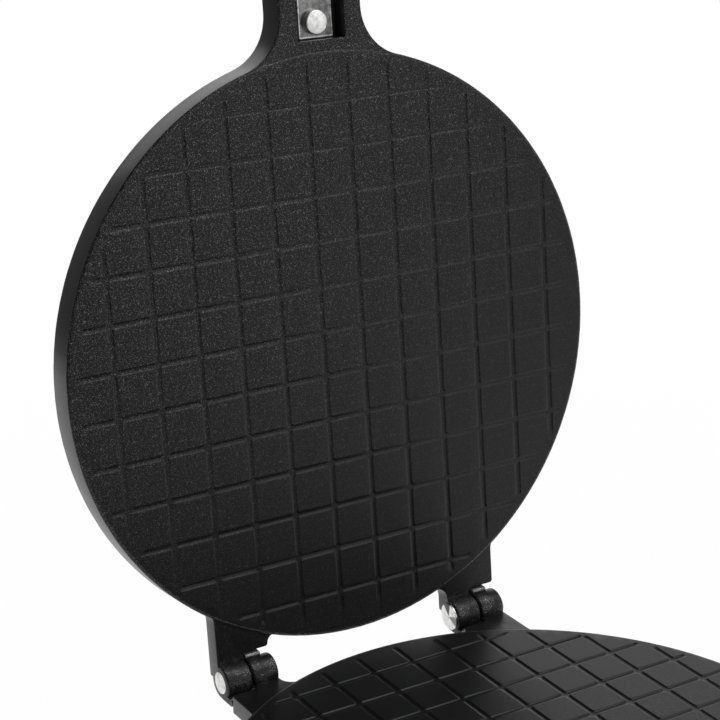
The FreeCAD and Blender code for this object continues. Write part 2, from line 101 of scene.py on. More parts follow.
class PlateSizes(bpy.types.PropertyGroup):
    """Sizes of the cast plates."""
    thickness: length("Thickness", "From the back of the rim to the cooking face", 11)
    edge: length("Edge round", "Radius of the plate's edges", 0.9)
    web: length("Web", "Thickness of the plate inside its back recess", 7)
    rim: length("Rim", "Width of the rim at the back", 8)
    pad: length("Centre pad", "Radius of the pad at the middle of the back", 24)
    pitch: length("Groove pitch", "From one groove to the next", 14.5)
    shift: length("Grid shift", "How far the grid's middle lies off the plate's middle", 0.35)
    groove: length("Groove width", "Width of a groove between the cells", 1.5)
    deep: length("Deep groove", "Depth of a groove where the grid is fresh", 0.36)
    worn: length("Worn groove", "Depth of a groove where the grid is worn", 0.07)
    lip: length("Cell lip", "How far a cell's top is rounded off towards the groove", 0.25)
    soft_lip: length("Soft lip", "How far a cell slopes down on its gentle side", 0.8)
    wall: length("Groove wall", "Run of a groove's sloping wall", 0.25)
    corner: length("Cell corner", "Radius of a cell's corners", 0.8)
    margin: length("Plain margin", "Plain ring between the grooves' ends and the plate's edge", 3.6)
    step: length("Step", "How far ears and neck lie below the cooking face", 0.5)


class HingeSizes(bpy.types.PropertyGroup):
    """Sizes of the hinge ears, their knuckles and the pins."""
    spacing: length("Ear spacing", "From one ear's middle to the other's", 88)
    width: length("Ear width", "Width of an ear", 18.5)
    thickness: length("Ear thickness", "Thickness of an ear", 6)
    fillet: length("Ear fillet", "Radius between an ear and the plate", 4.5)
    notch: length("Notch", "From the hinge's axis back to the notch", 7.6)
    barrel: length("Knuckle radius", "Radius of a knuckle", 5.5)
    gap: length("Knuckle gap", "Gap between two knuckles", 0.5)
    lower_toe: length("Lower toe setback", "From the hinge's axis to the lower stop toe's inner face", 0.5)
    upper_toe: length("Upper toe setback", "From the hinge's axis to the upper stop toe's inner face", 3.4)
    toe_reach: length("Toe reach", "From the hinge's axis to a stop toe's outer edge", 6.2)
    toe_width: length("Lower toe width", "Width of the lower half's stop toes along the hinge", 5.6)
    pin: length("Pin radius", "Radius of a pin's shank", 3.75)
    head: length("Pin head radius", "Radius of a pin's head", 4.6)
    head_thickness: length("Pin head thickness", "Thickness of a pin's head", 1.2)
    tail: length("Pin tail radius", "Radius of a pin's peened tail", 4.1)
    tail_length: length("Pin tail length", "Length of a pin's peened tail", 0.9)


class HandleSizes(bpy.types.PropertyGroup):
    """Sizes of necks, tangs, rivets, grips, screws and bail."""
    neck: length("Neck width", "Width of the neck", 29.3)
    neck_thickness: length("Neck thickness", "Thickness of the neck", 10.4)
    flare: length("Neck flare", "Radius between the neck and the plate", 17)
    channel: length("Channel width", "Width of the channel in the neck", 16.6)
    channel_start: length("Channel start", "From the plate's edge to the channel", 3.3)
    rivet_head: length("Rivet head radius", "Radius of a rivet's formed head", 3.75)
    rivet_shank: length("Rivet shank radius", "Radius of a rivet's shank", 2.2)
    grip_end: length("Grip end width", "Half width of the grip at its ends", 11)
    nose: length("Nose width", "Half width of the grip's nose", 7.5)
    nose_length: length("Nose length", "Length of the grip's nose", 23)
    nose_step: length("Nose step", "How much thinner the nose is", 2.2)
    screw_head: length("Screw head radius", "Radius of a grip screw's head", 3.8)
    screw_head_depth: length("Screw head depth", "Depth of a grip screw's countersink", 2.1)
    screw_shank: length("Screw shank radius", "Radius of a grip screw's shank", 2)
    wire: length("Bail wire radius", "Radius of the bail's wire", 1.3)
    leg: length("Bail leg", "From the middle to a leg of the bail", 9.8)
    reach: length("Bail reach", "From the bail's pivot to its crossbar", 19.41)
    hook: length("Bail hook", "From the middle to the end of a hook", 3)


class Finishes(bpy.types.PropertyGroup):
    """Colours of the finishes and of the stage."""
    coat: colour("Coat", "Non-stick coat of the castings", 0.0062, 0.0063, 0.0065)
    # Colour of the coat's grains, also used for painted sparkle and a painted edge highlight.
    fleck_and_sparkle: colour("Coat fleck", "Light grains in the coat", 0.15, 0.15, 0.153)
    # Bare metal of the worn stop toes, also a painted sheen for the light their tops catch.
    bare_and_sheen: colour("Bare casting", "Castings where the coat is rubbed off", 0.30, 0.30, 0.30)
    plate_metal: colour("Plated steel", "Tangs", 0.29, 0.29, 0.29)
    bright_metal: colour("Bright steel", "Hinge pins", 0.74, 0.735, 0.725)
    rivet_metal: colour("Rivet steel", "Rivets", 0.80, 0.795, 0.79)
    screw_metal: colour("Screw steel", "Grip screws", 0.55, 0.55, 0.53)
    wire_metal: colour("Wire", "Bail", 0.62, 0.62, 0.61)
    moulding: colour("Moulding", "Grips", 0.012, 0.012, 0.0125)
    floor: colour("Floor", "Floor of the stage", 0.82, 0.82, 0.82)


def settings(group):
    """One of the scene's groups of settings."""
    return getattr(bpy.context.scene, f"iron_{group}")


# Shapes worked out as arrays

def rounded_corners(corners, radii, steps=6, share=0.5, closed=True):
    """Points of a polygon whose corners are arcs.

    Each arc starts radius * tan(turn / 2) before its corner and turns about the point one radius inside.
    A radius is limited so that an arc takes up no more than a share of the shorter edge beside it.
    """
    corners = np.asarray(corners, float)
    into = corners - np.roll(corners, 1, axis=0)
    onward = np.roll(into, -1, axis=0)
    into_length = np.maximum(np.linalg.norm(into, axis=1), TINY)
    onward_length = np.roll(into_length, -1)
    into_unit = into / into_length[:, None]
    onward_unit = onward / onward_length[:, None]
    cross = into_unit[:, 0] * onward_unit[:, 1] - into_unit[:, 1] * onward_unit[:, 0]
    turn = np.arctan2(cross, np.sum(into_unit * onward_unit, axis=1))
    half_turn = np.tan(np.abs(turn) / 2)
    limit = share * np.minimum(into_length, onward_length)
    reach = np.minimum(np.asarray(radii, float) * half_turn, limit)
    radius = reach / np.maximum(half_turn, TINY)
    start = corners - into_unit * reach[:, None]
    left = np.stack([-into_unit[:, 1], into_unit[:, 0]], axis=1)
    spoke = -left * (radius * np.sign(turn))[:, None]
    angle = turn[:, None] * np.linspace(0, 1, steps + 1)
    arc_x = spoke[:, :1] * np.cos(angle) - spoke[:, 1:] * np.sin(angle)
    arc_y = spoke[:, :1] * np.sin(angle) + spoke[:, 1:] * np.cos(angle)
    arcs = (start - spoke)[:, None] + np.stack([arc_x, arc_y], axis=-1)
    if closed:
        return arcs.reshape(-1, 2)
    return np.concatenate([corners[:1], arcs[1:-1].reshape(-1, 2), corners[-1:]])


def loft(rings, capped=True):
    """A skin over closed rings of points, row by row, with a flat cap at each end."""
    count, around = rings.shape[:2]
    index = np.arange(count * around).reshape(count, around)
    beside = np.roll(index, -1, axis=1)
    quads = np.stack([index[:-1], beside[:-1], beside[1:], index[1:]], axis=-1).reshape(-1, 4)
    caps = [index[0], index[-1]] if capped else []
    return rings.reshape(-1, 3), quads, caps


def outward_normals(outline):
    """Unit normals of a closed outline, from the step between each point's neighbours."""
    along = np.roll(outline, -1, axis=0) - np.roll(outline, 1, axis=0)
    along /= np.maximum(np.linalg.norm(along, axis=1, keepdims=True), TINY)
    ahead = np.roll(outline, -1, axis=0)
    area = np.sum(outline[:, 0] * ahead[:, 1] - outline[:, 1] * ahead[:, 0])
    return np.sign(area) * np.stack([along[:, 1], -along[:, 0]], axis=1)


def edge_round(edge, steps):
    """A quarter round: rises of edge * (1 - cos t), and insets of edge * (1 - sin t)."""
    turn = np.linspace(0, QUARTER, steps + 1)
    return edge * (1 - np.cos(turn)), edge * (1 - np.sin(turn))


def rounded_slab(outline, low, high, edge, steps=5):
    """An outline carried from low to high, with a quarter round at both ends."""
    rise, inset = edge_round(edge, steps)
    level = np.concatenate([low + rise, high - rise[::-1]])
    inset = np.concatenate([inset, inset[::-1]])
    flat = outline[None] - outward_normals(outline)[None] * inset[:, None, None]
    return np.concatenate([flat, np.broadcast_to(level[:, None, None], flat.shape[:2] + (1,))], axis=-1)


def swung(profile, angles):
    """A (radius, height) profile swung about the height axis, with a copy at each angle."""
    radius, height = profile[:, :1], profile[:, 1:]
    rings = [radius * np.cos(angles), radius * np.sin(angles), height + 0 * angles]
    return loft(np.stack(rings, axis=-1), capped=False)


def turned(profile, around=72):
    """A (radius, height) profile swung about the height axis in equal steps."""
    return swung(profile, np.linspace(0, 2 * math.pi, around, endpoint=False))


def disc_net(radius, across, along, rows):
    """A net of straight lines held inside a circle.

    Rows lie at the along places and on radius * sin(angle). A row's points are the across places, held
    within its half chord sqrt(radius^2 - y^2). Returns the net's x and y, and the angles round its edge.
    """
    columns = np.unique(np.round(np.append(across[np.abs(across) < radius], [-radius, radius]), 7))
    spread = radius * np.sin(np.linspace(-QUARTER, QUARTER, rows))
    row = np.unique(np.round(np.concatenate([along[np.abs(along) < radius], spread]), 7))
    row = np.clip(row, -radius, radius)
    chord = np.sqrt(np.maximum(radius ** 2 - row ** 2, 0))
    x = np.clip(columns[None], -chord[:, None], chord[:, None])
    y = np.broadcast_to(row[:, None], x.shape)
    right_side = np.arctan2(row[:-1], chord[:-1])
    left_side = np.arctan2(row[:0:-1], -chord[:0:-1])
    return x, y, np.concatenate([right_side, left_side])


def net_skin(x, y, z):
    """A skin over a rectangular net of points."""
    rows, columns = x.shape
    index = np.arange(rows * columns).reshape(rows, columns)
    corners = [index[:-1, :-1], index[:-1, 1:], index[1:, 1:], index[1:, :-1]]
    quads = np.stack(corners, axis=-1).reshape(-1, 4)
    return np.stack([x, y, z], axis=-1).reshape(-1, 3), quads, []


def joined(face, sides):
    """Two open skins as one shell."""
    quads = np.concatenate([face[1], sides[1] + len(face[0])])
    return np.concatenate([face[0], sides[0]]), quads, []


def smooth_ramp(value, low, high):
    """0 below low, 1 above high, and t^2 (3 - 2 t) between them."""
    t = np.clip((value - low) / (high - low), 0, 1)
    return t * t * (3 - 2 * t)


def tube(path, radius, plane_normal, around=20):
    """A circle carried along a flat path: path + radius * (cos a * plane normal + sin a * side)."""
    along = np.gradient(path, axis=0)
    along /= np.linalg.norm(along, axis=1, keepdims=True)
    side = np.cross(plane_normal, along)
    angle = np.linspace(0, 2 * math.pi, around, endpoint=False)[None, :, None]
    rings = path[:, None] + radius * (np.cos(angle) * plane_normal + np.sin(angle) * side[:, None])
    return loft(rings)


def in_half(shell, half):
    """A shell of the lower half, or the same turned over and opened about the hinge for the upper half."""
    points, quads, caps = shell
    if half == "lower":
        return shell
    local = (points - HINGE) * np.array([-1, 1, -1])
    cosine, sine = math.cos(OPEN_ANGLE), math.sin(OPEN_ANGLE)
    y = local[:, 1] * cosine + local[:, 2] * sine
    z = local[:, 2] * cosine - local[:, 1] * sine
    return np.stack([local[:, 0], y, z], axis=1) + HINGE, quads, caps


def moved(shell, offset, order=(0, 1, 2)):
    """A shell with its axes put in another order and shifted."""
    points, quads, caps = shell
    return points[:, list(order)] + np.asarray(offset, float), quads, caps


def make_piece(name, shells, body, finish, nodes):
    """One object from closed shells: doubles merged, normals outward, smooth but for its sharp edges."""
    starts = np.cumsum([0] + [len(points) for points, quads, caps in shells])
    faces = []
    for start, (points, quads, caps) in zip(starts, shells):
        faces += (quads + start).tolist()
        faces += [(cap + start).tolist() for cap in caps]
    mesh = bpy.data.meshes.new(name)
    mesh.from_pydata(np.concatenate([shell[0] for shell in shells]), [], faces)
    work = bmesh.new()
    work.from_mesh(mesh)
    bmesh.ops.remove_doubles(work, verts=work.verts, dist=MERGE)
    bmesh.ops.dissolve_degenerate(work, edges=work.edges, dist=MERGE)
    bmesh.ops.recalc_face_normals(work, faces=work.faces)
    work.to_mesh(mesh)
    work.free()
    mesh.shade_smooth()
    mesh.set_sharp_from_angle(angle=SHARP)
    mesh.materials.append(finish)
    piece = bpy.data.objects.new(name, mesh)
    bpy.context.scene.collection.objects.link(piece)
    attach(piece, body)
    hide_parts(*nodes)
    return piece


# Finishes

class Value:
    """A number in a finish, with arithmetic that adds Math nodes."""

    def __init__(self, paint, socket):
        self.paint = paint
        self.socket = socket

    def math(self, operation, first, second):
        """A Math node on two values."""
        return self.paint.add("ShaderNodeMath", {"operation": operation}, {0: first, 1: second})["Value"]

    def __add__(self, other):
        return self.math("ADD", self, other)

    def __radd__(self, other):
        return self.math("ADD", other, self)

    def __sub__(self, other):
        return self.math("SUBTRACT", self, other)

    def __rsub__(self, other):
        return self.math("SUBTRACT", other, self)

    def __mul__(self, other):
        return self.math("MULTIPLY", self, other)

    def __rmul__(self, other):
        return self.math("MULTIPLY", other, self)

    def angle_from(self, other):
        """The angle whose tangent is this value over the other."""
        return self.math("ARCTAN2", self, other)

    def apart(self, other):
        """How far this value lies from another."""
        return self.paint.add("ShaderNodeMath", {"operation": "ABSOLUTE"}, {0: self - other})["Value"]

    def ramp(self, low, high):
        """0 below low, 1 above high, smooth between."""
        inputs = {"Value": self, "From Min": low, "From Max": high}
        return self.paint.add("ShaderNodeMapRange", {"interpolation_type": "SMOOTHSTEP"}, inputs)["Result"]


class Outputs:
    """A node's outputs, each as a value."""

    def __init__(self, paint, node):
        self.paint = paint
        self.node = node

    def __getitem__(self, key):
        return Value(self.paint, self.node.outputs[key])


class Paint:
    """The node tree of a material or of the world."""

    def __init__(self, owner):
        owner.use_nodes = True
        self.owner = owner
        self.tree = owner.node_tree
        self.tree.nodes.clear()

    def add(self, kind, options=None, inputs=None):
        """Add a node: its options first, then the values or links of its sockets."""
        node = self.tree.nodes.new(kind)
        for name, option in (options or {}).items():
            setattr(node, name, option)
        for key, given in (inputs or {}).items():
            socket = node.inputs[key]
            if isinstance(given, Value):
                self.tree.links.new(given.socket, socket)
            else:
                socket.default_value = given
        return Outputs(self, node)

    def place(self, stretch=(1, 1, 1)):
        """Object coordinates, stretched along the axes."""
        coordinates = self.add("ShaderNodeTexCoord")["Object"]
        return self.add("ShaderNodeMapping", None, {"Vector": coordinates, "Scale": stretch})["Vector"]

    def noise(self, place, scale, detail=2.0, roughness=0.5):
        """Soft noise with as many lumps in a metre as the scale says."""
        inputs = {"Vector": place, "Scale": scale, "Detail": detail, "Roughness": roughness}
        return self.add("ShaderNodeTexNoise", None, inputs)["Fac"]

    def vector(self, operation, first, second):
        """A Vector Math node on two vectors."""
        return self.add("ShaderNodeVectorMath", {"operation": operation}, {0: first, 1: second})

    def dot(self, place, direction):
        """How far a place lies along a direction."""
        return self.vector("DOT_PRODUCT", place, direction)["Value"]

    def off_axis(self, place, point, axis):
        """How far a place lies from the line through a point along an axis."""
        aside = self.vector("SUBTRACT", place, point)["Vector"]
        return self.from_origin(self.vector("CROSS_PRODUCT", aside, axis)["Vector"])

    def from_origin(self, place):
        """How far a place lies from the origin."""
        return self.add("ShaderNodeVectorMath", {"operation": "LENGTH"}, {0: place})["Value"]

    def mix(self, share, first, second):
        """A colour between two."""
        inputs = {0: share, 6: first, 7: second}
        return self.add("ShaderNodeMix", {"data_type": "RGBA"}, inputs)[2]

    def bump(self, height, strength, distance):
        """A normal that follows a height."""
        inputs = {"Height": height, "Strength": strength, "Distance": distance}
        return self.add("ShaderNodeBump", None, inputs)["Normal"]

    def close(self, shader, output="ShaderNodeOutputMaterial"):
        """Link the finished shader to the output."""
        self.add(output, None, {"Surface": shader})
        return self.owner

    def surface(self, **inputs):
        """A finished surface from a principled shader's sockets, written with low lines for spaces."""
        named = {name.replace("_", " "): given for name, given in inputs.items()}
        return self.close(self.add("ShaderNodeBsdfPrincipled", None, named)["BSDF"])


def shade(rgb, factor=1.0):
    """A colour setting as a socket's four numbers, made lighter or darker."""
    return tuple(min(1.0, channel * factor) for channel in rgb) + (1.0,)


def coat_finish(name, facing, middle, painted_sparkle_direction, least_painted_sparkle, painted_sparkle_low, painted_sparkle_high):
    """Black non-stick coat: bright grains on the cooking side, and a smooth, glossier rim and back.

    The grains thicken along one direction, from a least share at its low end to all of them at its high end:
    a painted sparkle, thickest where light falls on the face. Grains also line the plate's edge where the
    face has few, as a painted highlight on its round, and scuff the knuckles. Off the cooking face the coat
    is painted 2.2 times lighter, a painted fill light for its shaded rim, back, neck and channel. The stop
    toes' tops are bare
    metal: rubbed bare, and lightened as a painted sheen for the light they catch.
    """
    finishes, plate, barrel = settings("finishes"), settings("plate"), settings("hinge").barrel
    paint = Paint(bpy.data.materials.new(name))
    place = paint.place()
    offset = HINGE[2] - float(np.dot(HINGE, facing))
    height = paint.dot(place, facing) + offset
    cooking_side = height.ramp(plate.thickness - 1.2 * MM, plate.thickness - 0.7 * MM)
    # The share of grains thickens along one direction: painted sparkle, thickest where light falls on the
    # face.
    grain_and_sparkle_share = least_painted_sparkle + (1.0 - least_painted_sparkle) * paint.dot(place, painted_sparkle_direction).ramp(painted_sparkle_low, painted_sparkle_high)
    from_hinge = paint.off_axis(place, tuple(HINGE), (1, 0, 0))
    knuckle = 1.0 - from_hinge.ramp(barrel + 0.2 * MM, barrel + 1.5 * MM)
    # A band of light grains on the plate's rounded edge: a painted highlight, fullest where the face's
    # painted sparkle is thin.
    from_edge = paint.off_axis(place, middle, facing).apart(PLATE_RADIUS - 0.7 * MM)
    edge_highlight_line = 1.0 - from_edge.ramp(0.1 * MM, 0.5 * MM)
    grain = paint.noise(place, 1500, 2.5)
    spot = paint.noise(place, 3400, 0.6)
    patch = paint.noise(place, 45, 3.0)
    face_fleck = spot.ramp(0.58, 0.70) * grain_and_sparkle_share
    edge_highlight_fleck = spot.ramp(0.40, 0.60) * edge_highlight_line * (1.0 - grain_and_sparkle_share)
    fleck_and_sparkle = (face_fleck + edge_highlight_fleck) * cooking_side
    scuff = spot.ramp(0.50, 0.72) * paint.noise(place, 260, 2.0).ramp(0.40, 0.60) * knuckle
    # The stop toes' tops are bare metal: worn bare, and lightened as a painted sheen for the light they
    # catch.
    toe = height.ramp(HINGE[2] + barrel + 0.2 * MM, HINGE[2] + barrel + 0.9 * MM)
    bare_and_sheen = toe * spot.ramp(0.35, 0.60) * 0.8
    speck_and_sparkle = fleck_and_sparkle + scuff * 1.2
    # Off the cooking face the coat is painted 2.2 times lighter: painted fill light for its shaded rim, back,
    # neck and channel.
    tone = paint.mix(cooking_side, shade(finishes.coat, 2.2), shade(finishes.coat))
    tone = paint.mix(speck_and_sparkle, tone, shade(finishes.fleck_and_sparkle))
    tone = paint.mix(bare_and_sheen, tone, shade(finishes.bare_and_sheen))
    rough = 0.31 + patch * 0.08 - speck_and_sparkle * 0.06
    lumps = (grain * grain_and_sparkle_share + fleck_and_sparkle * 0.6) * (0.15 + 0.85 * cooking_side) + knuckle * (grain + spot * 0.5)
    relief = paint.bump(lumps, 0.55, 0.00015)
    gloss = 0.28 - 0.28 * cooking_side
    return paint.surface(Base_Color=tone, Metallic=speck_and_sparkle * 0.7 + bare_and_sheen, Roughness=rough,
                         Specular_IOR_Level=0.25, Coat_Weight=gloss, Coat_Roughness=0.25, Normal=relief)


def plated_finish():
    """Zinc-plated strip: mottled crystals, dull spots, faint lengthwise scratches and painted highlights
    along its cut edges.
    """
    metal = settings("finishes").plate_metal
    paint = Paint(bpy.data.materials.new("plated_strip"))
    place = paint.place()
    mottle = paint.noise(place, 420, 4.0, 0.65)
    spots = paint.noise(place, 900, 2.0).ramp(0.60, 0.72)
    scratch = paint.noise(paint.place((2600, 60, 60)), 1.0, 2.0).ramp(0.55, 0.75)
    tone = paint.mix(mottle.ramp(0.30, 0.72), shade(metal, 0.62), shade(metal, 1.25))
    tone = paint.mix(spots * 0.45, tone, shade(metal, 0.35))
    half, end = float(TANG_HIGH[0]), float(HINGE[1] - TANG_HIGH[1])
    # Three times lighter metal along the side and end edges: a painted highlight on their rounds.
    side_edge_highlight = paint.dot(place, (1, 0, 0)).apart(0.0).ramp(half - 0.75 * MM, half - 0.45 * MM)
    end_edge_highlight = 1.0 - paint.off_axis(place, tuple(HINGE), (1, 0, 0)).ramp(end + 0.3 * MM, end + 0.7 * MM)
    painted_edge_highlight = (side_edge_highlight + end_edge_highlight) * mottle.ramp(0.32, 0.52)
    tone = paint.mix(painted_edge_highlight, tone, shade(metal, 3.0))
    rough = 0.15 + mottle * 0.16 + scratch * 0.08
    relief = paint.bump(mottle * 0.6 + scratch * 0.5, 0.25, 0.00008)
    return paint.surface(Base_Color=tone, Roughness=rough, Metallic=1.0, Normal=relief)


def turning_marks(paint, place, axis, arc_scale):
    """Small dull blotches, and a normal that follows them and fine arcs round one of the frame's axes."""
    arcs = paint.add("ShaderNodeTexWave", {"wave_type": "RINGS", "rings_direction": axis},
                     {"Vector": place, "Scale": arc_scale, "Distortion": 0.6, "Detail": 1.0})["Fac"]
    blotch = paint.noise(place, 700, 3.0, 0.6)
    return blotch, paint.bump(arcs * 0.4 + blotch * 0.6, 0.20, 0.00006)


def turned_finish(name, axis, metal, arc_scale, dullness):
    """Turned or formed steel: fine arcs and small dull blotches."""
    paint = Paint(bpy.data.materials.new(name))
    blotch, relief = turning_marks(paint, paint.place(), axis, arc_scale)
    tone = paint.mix(blotch.ramp(0.35, 0.75), shade(metal, 1.12), shade(metal, 0.74))
    rough = dullness + blotch * 0.18
    return paint.surface(Base_Color=tone, Roughness=rough, Metallic=1.0, Normal=relief)


def pin_finish(name, depth):
    """Turned pin: fine arcs, small blotches, and a fan of two painted dark wedges about the pin's axis.

    A wedge is a smooth painted dip about one angle round the hinge's axis, counted from straight up towards
    the handles, a painted reflection of the turned end. The depth says how dark the wedges are painted.
    """
    metal = settings("finishes").bright_metal
    paint = Paint(bpy.data.materials.new(name))
    place = paint.place()
    blotch, relief = turning_marks(paint, place, "X", 500)
    forward = float(HINGE[1]) - paint.dot(place, (0, 1, 0))
    upward = paint.dot(place, (0, 0, 1)) - float(HINGE[2])
    angle = forward.angle_from(upward)
    upper_painted_wedge = 1.0 - angle.apart(-0.30).ramp(0.34, 0.56)
    front_painted_wedge = 1.0 - angle.apart(1.65).ramp(0.25, 0.60)
    painted_dark_fan = upper_painted_wedge + 0.8 * front_painted_wedge
    tone = paint.mix(blotch.ramp(0.35, 0.75), shade(metal, 1.1), shade(metal, 0.78))
    # The fan darkens the tone: a painted dark reflection of the turned end.
    tone = paint.mix(painted_dark_fan * depth, tone, shade(metal, 0.12))
    rough = 0.24 + blotch * 0.18
    return paint.surface(Base_Color=tone, Roughness=rough, Metallic=1.0, Normal=relief)


def moulding_finish():
    """Black heat-proof moulding: fine stipple, faint flow marks and a dull sheen."""
    black = settings("finishes").moulding
    paint = Paint(bpy.data.materials.new("black_moulding"))
    stipple = paint.noise(paint.place(), 1900, 1.5)
    flow = paint.noise(paint.place((30, 6, 30)), 1.0, 3.0)
    tone = paint.mix(flow.ramp(0.3, 0.7), shade(black, 0.8), shade(black, 1.5))
    rough = 0.36 + flow * 0.14
    relief = paint.bump(stipple + flow * 0.3, 0.14, 0.00012)
    return paint.surface(Base_Color=tone, Roughness=rough, Specular_IOR_Level=0.45, Normal=relief)


def wire_finish():
    """Drawn wire: bright, with faint dull patches."""
    metal = settings("finishes").wire_metal
    paint = Paint(bpy.data.materials.new("drawn_wire"))
    place = paint.place()
    patch = paint.noise(place, 300, 3.0)
    pits = paint.noise(place, 2400, 1.0)
    tone = paint.mix(patch.ramp(0.35, 0.7), shade(metal, 1.15), shade(metal, 0.72))
    rough = 0.24 + patch * 0.16
    relief = paint.bump(pits, 0.12, 0.00005)
    return paint.surface(Base_Color=tone, Roughness=rough, Metallic=1.0, Normal=relief)


def finish(name, make, *arguments, **named):
    """A finish, made once."""
    return bpy.data.materials.get(name) or make(*arguments, **named)


# Castings

def cooking_face(plate, is_worn):
    """Square cells with rounded corners, raised between two sets of grooves.

    A groove's share of its depth is a smooth ramp on the distance from the cell beside it, and fades out at
    the groove's ends, sqrt(end radius^2 - offset^2) from the middle. Where two grooves cross, the distance
    from the cell's rounded corner is |max(q, 0)| + min(max(q), 0) - corner, with q the offset from the cell's
    middle less its straight half. On a worn face each set's depth goes from deep towards worn across the
    plate, and the cells slope down gently on one side.
    """
    top_radius = PLATE_RADIUS - plate.edge
    end_radius = PLATE_RADIUS - plate.margin
    end_ramp = 1.6 * MM
    corner, pitch = plate.corner, plate.pitch
    each_side = int(end_radius / pitch + 0.5)
    middles = pitch * (np.arange(-each_side, each_side) + 0.5)
    half = plate.groove / 2
    edges = half + np.array([plate.lip, (plate.lip - plate.wall) / 2, -plate.wall, corner / 2, corner])
    near_groove = (middles[:, None] + np.concatenate([edges, -edges])).ravel()
    cells = pitch * np.arange(-each_side, each_side + 1)
    soft_lip = plate.soft_lip if is_worn else plate.lip
    soft_side = middles + half + soft_lip
    shifts = np.array([-plate.shift, plate.shift])
    ends = np.sqrt(end_radius ** 2 - (middles + shifts[:, None]) ** 2)
    stops = np.concatenate([ends, -ends], axis=1)[..., None] + end_ramp * np.array([-0.5, 0.5])
    across = np.append(np.concatenate([near_groove, soft_side, cells]) + shifts[0], stops[1])
    along = np.append(np.concatenate([near_groove, cells]) + shifts[1], stops[0])
    x, y, edge_angles = disc_net(top_radius, across, along, rows=61)
    wear = smooth_ramp((-0.8 * x - 0.6 * y) / PLATE_RADIUS, -0.3, 0.5)
    other_wear = smooth_ramp((0.6 * x + 0.8 * y) / PLATE_RADIUS, -0.2, 0.7)
    shallower = (plate.worn - plate.deep) * is_worn
    depths = [plate.deep + shallower * share for share in (0.22 + 0.7 * other_wear, wear)]
    straight = (pitch - plate.groove) / 2 - corner
    on_soft_side = (x - shifts[0] + pitch / 2) % pitch < pitch / 2
    lips = (np.where(on_soft_side, soft_lip, plate.lip), plate.lip)
    offsets, fades = [], []
    for place, other, shift in ((x, y, shifts[0]), (y, x, shifts[1])):
        offsets.append(np.abs((place - shift + pitch / 2) % pitch - pitch / 2) - straight)
        groove = shift + pitch * (np.floor((place - shift) / pitch) + 0.5)
        end = np.sqrt(np.maximum(end_radius ** 2 - groove ** 2, 0))
        fades.append(smooth_ramp(end - np.abs(other), -end_ramp / 2, end_ramp / 2))
    outside = np.hypot(np.maximum(offsets[0], 0), np.maximum(offsets[1], 0))
    crossing = outside + np.minimum(np.maximum(offsets[0], offsets[1]), 0) - corner
    sink = smooth_ramp(crossing, -plate.lip, plate.wall) * fades[0] * fades[1] * np.maximum(*depths)
    for offset, fade, lip, depth in zip(offsets, fades, lips, depths):
        sink = np.maximum(sink, depth * fade * smooth_ramp(offset - corner, -lip, plate.wall))
    return net_skin(x, y, plate.thickness - sink), edge_angles


def plate_sides(plate, edge_angles):
    """The rim, the recessed back and its centre pad: a (radius, height) profile swung about the middle."""
    web = plate.thickness - plate.web
    recess = PLATE_RADIUS - plate.rim
    draft = 1.0 * MM
    hollow = 1.5 * MM
    corners = [
        (PLATE_RADIUS - 3 * plate.edge, plate.thickness), (PLATE_RADIUS, plate.thickness),
        (PLATE_RADIUS, 0), (recess, 0), (recess - draft, web),
        (plate.pad + draft, web), (plate.pad, 0), (0, 0),
    ]
    radii = [0, plate.edge, plate.edge, plate.edge, hollow, hollow, plate.edge, 0]
    return swung(rounded_corners(corners, radii, closed=False)[1:], edge_angles)


def neck_section(half, channel, floor, back, front):
    """A U section across the neck: outer box less its channel."""
    corners = [
        (-half, back), (half, back), (half, front), (channel, front),
        (channel, floor), (-channel, floor), (-channel, front), (-half, front),
    ]
    radii = np.array([0.8, 0.8, 0.7, 0.35, 0.3, 0.3, 0.35, 0.7]) * MM
    return rounded_corners(corners, radii, steps=4)


def neck(plate, handle):
    """The U section carried along the handle.

    Its half width grows by flare * (1 - cos a) into the plate, and its channel is filled from its end on.
    """
    front = plate.thickness - plate.step
    back = front - handle.neck_thickness
    half = handle.neck / 2
    channel = handle.channel / 2
    centre_x = half + handle.flare
    centre_y = math.sqrt((PLATE_RADIUS + handle.flare) ** 2 - centre_x ** 2)
    channel_end = -PLATE_RADIUS - handle.channel_start
    end_turn = math.asin((channel_end + centre_y) / handle.flare)
    full_turn = math.asin(centre_y / (PLATE_RADIUS + handle.flare))
    edge = 0.6 * MM
    inside_rim = plate.rim - PLATE_RADIUS - 0.5 * MM
    stations = [(NECK_END + rise, half, inset, TANG_LOW[2]) for rise, inset in zip(*edge_round(edge, 4))]
    open_turns, filled_turns = np.linspace(0, end_turn, 7), np.linspace(end_turn, full_turn, 9)
    for turns, floor in ((open_turns, TANG_LOW[2]), (filled_turns, front)):
        for turn in turns:
            flared = half + handle.flare * (1 - math.cos(turn))
            stations.append((handle.flare * math.sin(turn) - centre_y, flared, 0, floor))
    stations.append((inside_rim, flared, 0, front))
    rings = []
    for y, wide, inset, floor in stations:
        section = neck_section(wide - inset, channel + inset, floor - inset, back + inset, front - inset)
        rings.append(np.column_stack([section[:, 0], np.full(len(section), y), section[:, 1]]))
    return loft(np.array(rings))


